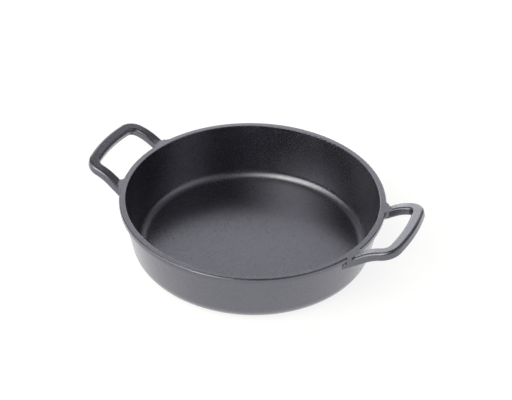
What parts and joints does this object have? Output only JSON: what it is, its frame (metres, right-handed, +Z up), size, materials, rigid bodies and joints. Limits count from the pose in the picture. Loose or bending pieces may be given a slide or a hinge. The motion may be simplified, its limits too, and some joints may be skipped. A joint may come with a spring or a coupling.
{
  "type": "cast iron pan",
  "caption": "Round cast iron pan with leaning wall, broad floor corner, flat rim with an outer band, and raised loop handles cast on at opposite sides, for stove and oven cooking.",
  "frame": {"origin": "on the table, under the middle of the pan", "axes": "+Z up out of the pan's mouth, +X along the line through both handles, +Y across it"},
  "size_m": [0.362, 0.28, 0.0843],
  "materials": {
    "cast_iron": "satin black, fine cast grain",
    "ground_cast_iron": "ground flat, dark grey"
  },
  "bodies": {
    "root": {"floor_plate": "cast_iron", "corner": "cast_iron", "wall": "cast_iron", "rim": "cast_iron", "foot_ring": "ground_cast_iron", "handle_right": "cast_iron", "handle_left": "cast_iron"}
  },
  "joints": []
}
